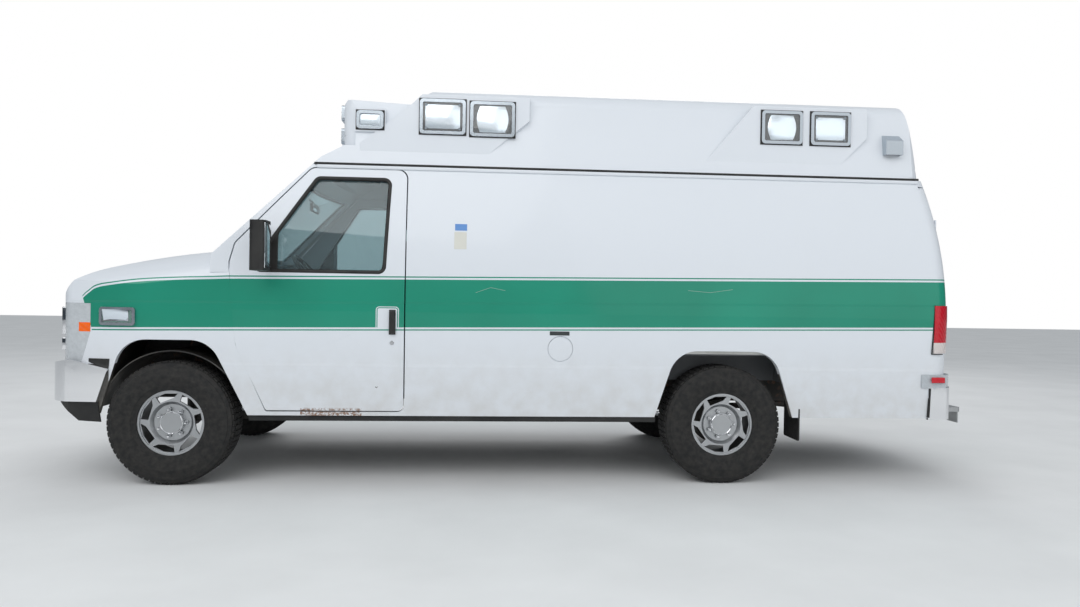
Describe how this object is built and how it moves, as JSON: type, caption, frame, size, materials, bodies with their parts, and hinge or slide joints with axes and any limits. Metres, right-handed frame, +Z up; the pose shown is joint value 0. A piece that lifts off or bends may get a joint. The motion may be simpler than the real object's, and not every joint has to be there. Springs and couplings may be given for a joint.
{
  "type": "raised-roof van ambulance",
  "caption": "Full-size van ambulance with a raised roof, wing and roof warning lights, opening doors and hood, steered and rolling wheels.",
  "frame": {"origin": "on the ground, on the centre line, half way along the overall length", "axes": "+X to the rear, -Y the driver's side, +Z up"},
  "size_m": [6.0156, 2.504, 2.582],
  "materials": {
    "white_paint": "semi-gloss white coachwork paint",
    "roof_laminate": "gloss white gelcoat over glass-fibre",
    "chrome": "bright chrome plate",
    "grille_plastic": "dark grey moulded grille",
    "black_plastic": "grained black plastic",
    "window_glass": "tinted safety glass",
    "lamp_glass": "clear lamp lens",
    "lamp_red": "red lamp lens",
    "head_lens": "clear headlamp lens",
    "chassis_black": "black chassis paint",
    "bare_steel": "weathered steel",
    "cast_engine": "cast iron block",
    "tread_plate": "raised-tread aluminium plate",
    "tyre_rubber": "black tyre rubber",
    "flap_rubber": "black sheet rubber",
    "wheel_silver": "silver painted wheel",
    "grey_trim": "grey moulded interior trim",
    "seat_vinyl": "dark grey vinyl",
    "cabinet_white": "white laminate",
    "floor_vinyl": "grey floor vinyl over steel",
    "radiator_fins": "dark finned core"
  },
  "bodies": {
    "chassis": {"body_side_left": "white_paint", "body_side_right": "white_paint", "cab_front": "white_paint", "front_wings": "white_paint", "raised_roof": "roof_laminate", "floor_pan": "floor_vinyl", "grille": "grille_plastic", "windscreen": "window_glass", "headlamps": "head_lens", "tail_lamps": "lamp_red", "front_bumper": "chrome", "front_valance": "black_plastic", "rear_bumper": "chrome", "rear_step": "tread_plate", "light_bezels": "chrome", "light_lenses": "lamp_glass", "mud_flaps": "flap_rubber", "frame_rails": "chassis_black", "front_axle_beams": "chassis_black", "rear_axle": "chassis_black", "engine_block": "cast_engine", "engine_cover": "grey_trim", "driveline": "bare_steel", "radiator": "radiator_fins", "exhaust": "bare_steel", "fuel_tank": "chassis_black", "spare_wheel": "tyre_rubber", "dashboard": "grey_trim", "cab_seats": "seat_vinyl", "cabinet_wall": "cabinet_white", "squad_bench": "cabinet_white", "bench_cushions": "seat_vinyl", "brake_cable": "black_plastic"},
    "steered_left": {"knuckle_left": "chassis_black"},
    "steered_right": {"knuckle_right": "chassis_black"},
    "road_wheel_front_left": {"tyre_front_left": "tyre_rubber", "wheel_front_left": "wheel_silver"},
    "road_wheel_front_right": {"tyre_front_right": "tyre_rubber", "wheel_front_right": "wheel_silver"},
    "road_wheel_rear_left": {"tyre_rear_left": "tyre_rubber", "wheel_rear_left": "wheel_silver"},
    "road_wheel_rear_right": {"tyre_rear_right": "tyre_rubber", "wheel_rear_right": "wheel_silver"},
    "door_driver": {"driver_door": "white_paint", "driver_door_glass": "window_glass", "mirror_left": "black_plastic"},
    "door_passenger": {"passenger_door": "white_paint", "passenger_door_glass": "window_glass", "mirror_right": "black_plastic"},
    "door_side_front": {"side_door_front": "white_paint", "side_door_front_glass": "window_glass"},
    "door_side_rear": {"side_door_rear": "white_paint", "side_door_rear_glass": "window_glass"},
    "door_rear_left": {"rear_door_left": "white_paint", "rear_door_left_glass": "window_glass"},
    "door_rear_right": {"rear_door_right": "white_paint", "rear_door_right_glass": "window_glass"},
    "bonnet": {"hood": "white_paint"},
    "steering": {"steering_wheel": "black_plastic"}
  },
  "joints": [
    {"name": "steer_left", "type": "hinge", "parent": "chassis", "child": "steered_left", "pos_m": [-2.244, -0.821, 0.387], "axis": [0, 0, 1], "range_deg": [-33, 33]},
    {"name": "steer_right", "type": "hinge", "parent": "chassis", "child": "steered_right", "pos_m": [-2.244, 0.821, 0.387], "axis": [0, 0, 1], "range_deg": [-33, 33]},
    {"name": "roll_front_left", "type": "hinge", "parent": "steered_left", "child": "road_wheel_front_left", "pos_m": [-2.244, -0.8815, 0.387], "axis": [0, 1, 0], "continuous": true},
    {"name": "roll_rear_left", "type": "hinge", "parent": "chassis", "child": "road_wheel_rear_left", "pos_m": [1.261, -0.8535, 0.387], "axis": [0, 1, 0], "continuous": true},
    {"name": "roll_front_right", "type": "hinge", "parent": "steered_right", "child": "road_wheel_front_right", "pos_m": [-2.244, 0.8815, 0.387], "axis": [0, 1, 0], "continuous": true},
    {"name": "roll_rear_right", "type": "hinge", "parent": "chassis", "child": "road_wheel_rear_right", "pos_m": [1.261, 0.8535, 0.387], "axis": [0, 1, 0], "continuous": true},
    {"name": "driver_door_hinge", "type": "hinge", "parent": "chassis", "child": "door_driver", "pos_m": [-1.894, -1.012, 1], "axis": [0, 0, -1], "range_deg": [0, 65]},
    {"name": "passenger_door_hinge", "type": "hinge", "parent": "chassis", "child": "door_passenger", "pos_m": [-1.894, 1.012, 1], "axis": [0, 0, 1], "range_deg": [0, 65]},
    {"name": "side_front_hinge", "type": "hinge", "parent": "chassis", "child": "door_side_front", "pos_m": [-0.738, 1.012, 1.2], "axis": [0, 0, 1], "range_deg": [0, 90]},
    {"name": "side_rear_hinge", "type": "hinge", "parent": "chassis", "child": "door_side_rear", "pos_m": [0.446, 1.012, 1.2], "axis": [0, 0, -1], "range_deg": [0, 90]},
    {"name": "rear_left_hinge", "type": "hinge", "parent": "chassis", "child": "door_rear_left", "pos_m": [2.803, -0.935, 1.3], "axis": [0, 0, -1], "range_deg": [0, 175]},
    {"name": "rear_right_hinge", "type": "hinge", "parent": "chassis", "child": "door_rear_right", "pos_m": [2.803, 0.935, 1.3], "axis": [0, 0, 1], "range_deg": [0, 175]},
    {"name": "hood_hinge", "type": "hinge", "parent": "chassis", "child": "bonnet", "pos_m": [-2.194, 0, 1.458], "axis": [0, 1, 0], "range_deg": [0, 48]},
    {"name": "steering_column", "type": "hinge", "parent": "chassis", "child": "steering", "pos_m": [-1.50185, -0.42, 1.30141], "axis": [0.766, 0, 0.6428], "range_deg": [-528, 528]}
  ],
  "couplings": [
    {"joint": "steer_right", "follows": "steer_left", "ratio": 1},
    {"joint": "steering_column", "follows": "steer_left", "ratio": 16}
  ]
}
